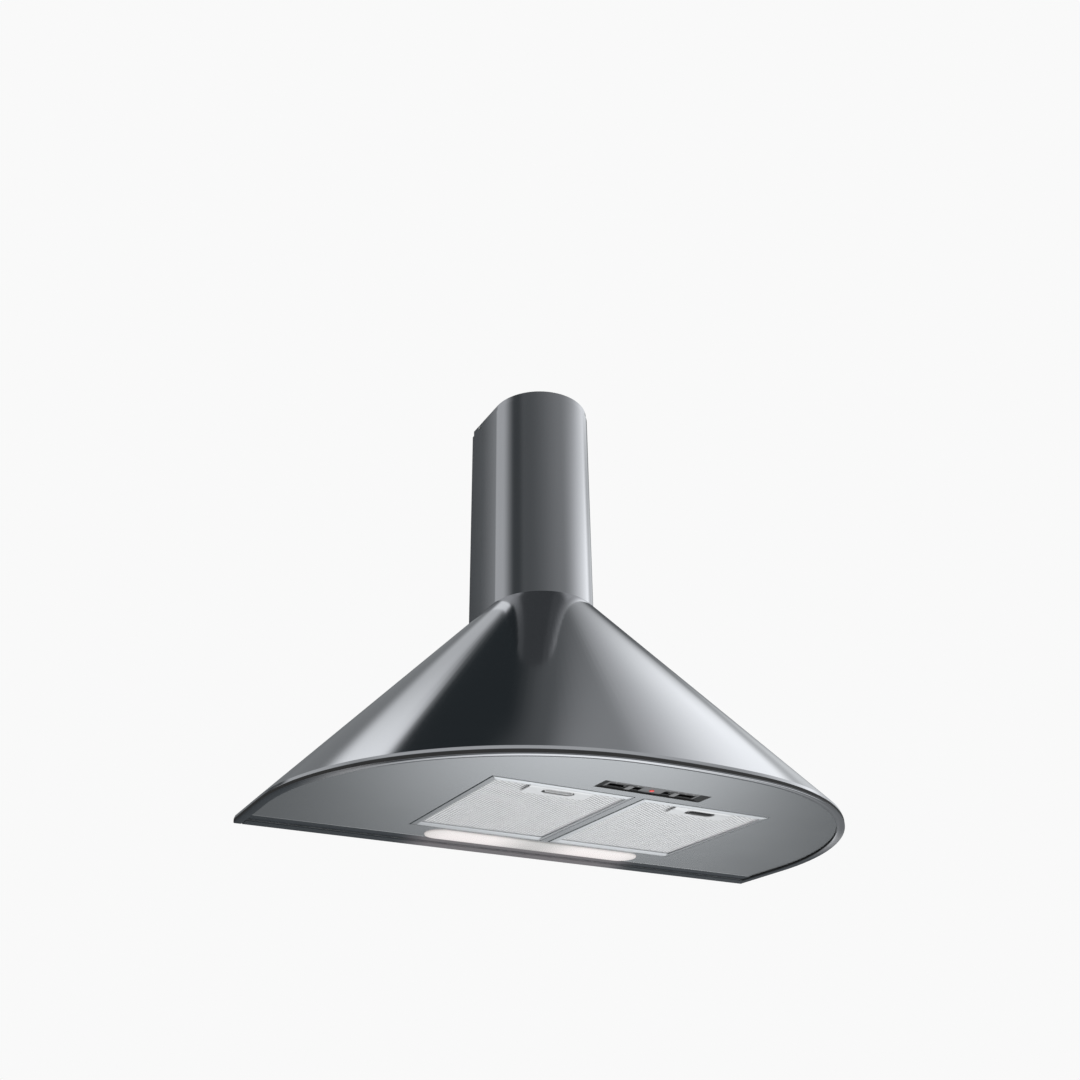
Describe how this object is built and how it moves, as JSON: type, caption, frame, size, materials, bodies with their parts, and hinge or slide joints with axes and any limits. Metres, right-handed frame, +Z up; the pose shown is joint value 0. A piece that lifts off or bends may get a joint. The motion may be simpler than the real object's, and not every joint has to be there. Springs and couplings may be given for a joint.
{
  "type": "wall mount range hood",
  "caption": "Wall mount range hood: conical steel canopy on a half-round telescopic chimney, hinged grease filters, strip lamp, slide switches, blower with outlet damper inside.",
  "frame": {"origin": "in the wall plane, on the hood's centre line, at the level of the rim's lower edge", "axes": "+X to the right seen from the front, +Y into the wall, +Z up"},
  "size_m": [0.9, 0.51, 0.776],
  "materials": {
    "stainless": "polished satin stainless sheet",
    "underside_steel": "satin stainless sheet",
    "galvanised": "galvanised sheet",
    "filter_aluminium": "pressed aluminium frame",
    "filter_mesh": "layers of expanded aluminium mesh",
    "latch_plastic": "light grey moulding",
    "black_plastic": "black moulding",
    "grey_plastic": "dark grey moulding",
    "white_plastic": "white moulding",
    "housing_plastic": "grey blower housing moulding",
    "motor_steel": "painted motor case",
    "shaft_steel": "ground shaft",
    "rubber": "black rubber",
    "zinc": "zinc plated screw",
    "lamp_glass": "frosted bulb glass",
    "diffuser": "opal diffuser, lit",
    "pilot_red": "red pilot lens",
    "board_green": "circuit board",
    "cable_grey": "cable sheath"
  },
  "bodies": {
    "hood": {"rim_frame": "stainless", "canopy": "stainless", "chimney_lower": "stainless", "underside_panel": "underside_steel", "back_panel": "galvanised", "outlet_plate": "galvanised", "scroll_left": "housing_plastic", "scroll_right": "housing_plastic", "scroll_screws": "zinc", "motor": "motor_steel", "motor_bracket": "galvanised", "motor_grommets": "rubber", "motor_screws": "zinc", "inlet_guard": "housing_plastic", "outlet_collar": "black_plastic", "collar_screws": "zinc", "damper_pin": "shaft_steel", "terminal_box": "white_plastic", "terminal_box_lid": "white_plastic", "terminal_block": "grey_plastic", "cable_gland": "black_plastic", "capacitor": "white_plastic", "capacitor_clip": "galvanised", "lamp_housing": "galvanised", "lamp_holders": "white_plastic", "lamp_bulbs": "lamp_glass", "control_tray": "black_plastic", "control_plate": "grey_plastic", "switch_bodies": "black_plastic", "control_board": "board_green", "pilot_lens": "pilot_red", "motor_cable": "cable_grey", "lamp_cable": "cable_grey", "control_cable": "cable_grey"},
    "upper_chimney": {"chimney_upper": "stainless", "chimney_bracket": "galvanised", "chimney_screws": "zinc"},
    "filter_left": {"filter_frame_left": "filter_aluminium", "filter_mesh_left": "filter_mesh", "filter_handle_left": "filter_aluminium"},
    "filter_right": {"filter_frame_right": "filter_aluminium", "filter_mesh_right": "filter_mesh", "filter_handle_right": "filter_aluminium"},
    "latch_left": {"filter_latch_left": "latch_plastic"},
    "latch_right": {"filter_latch_right": "latch_plastic"},
    "wheel": {"impeller": "white_plastic", "motor_shaft": "shaft_steel"},
    "flap_left": {"damper_flap_left": "grey_plastic"},
    "flap_right": {"damper_flap_right": "grey_plastic"},
    "light_switch": {"light_slider": "grey_plastic"},
    "speed_switch": {"speed_slider": "grey_plastic"},
    "lamp_cover": {"lamp_cover": "diffuser"}
  },
  "joints": [
    {"name": "upper_chimney_rise", "type": "slide", "parent": "hood", "child": "upper_chimney", "axis": [0, 0, 1], "range_m": [0, 0.3]},
    {"name": "filter_left_swing", "type": "hinge", "parent": "hood", "child": "filter_left", "pos_m": [-0.1145, -0.113, 0.0058], "axis": [1, 0, 0], "range_deg": [0, 75]},
    {"name": "latch_left_slide", "type": "slide", "parent": "filter_left", "child": "latch_left", "axis": [0, 1, 0], "range_m": [0, 0.005], "stiffness_N_per_m": 300, "springref_m": -0.003},
    {"name": "filter_right_swing", "type": "hinge", "parent": "hood", "child": "filter_right", "pos_m": [0.1145, -0.113, 0.0058], "axis": [1, 0, 0], "range_deg": [0, 75]},
    {"name": "latch_right_slide", "type": "slide", "parent": "filter_right", "child": "latch_right", "axis": [0, 1, 0], "range_m": [0, 0.005], "stiffness_N_per_m": 300, "springref_m": -0.003},
    {"name": "impeller_spin", "type": "hinge", "parent": "hood", "child": "wheel", "pos_m": [0, -0.153, 0.192], "axis": [1, 0, 0], "continuous": true},
    {"name": "flap_left_swing", "type": "hinge", "parent": "hood", "child": "flap_left", "pos_m": [0, -0.096, 0.3794], "axis": [0, 1, 0], "range_deg": [0, 80]},
    {"name": "flap_right_swing", "type": "hinge", "parent": "hood", "child": "flap_right", "pos_m": [0, -0.096, 0.3794], "axis": [0, -1, 0], "range_deg": [0, 80]},
    {"name": "light_switch_slide", "type": "slide", "parent": "hood", "child": "light_switch", "axis": [1, 0, 0], "range_m": [-0.026, 0.012]},
    {"name": "speed_switch_slide", "type": "slide", "parent": "hood", "child": "speed_switch", "axis": [1, 0, 0], "range_m": [-0.012, 0.026]},
    {"name": "lamp_cover_drop", "type": "slide", "parent": "hood", "child": "lamp_cover", "axis": [0, 0, -1], "range_m": [0, 0.05]}
  ]
}
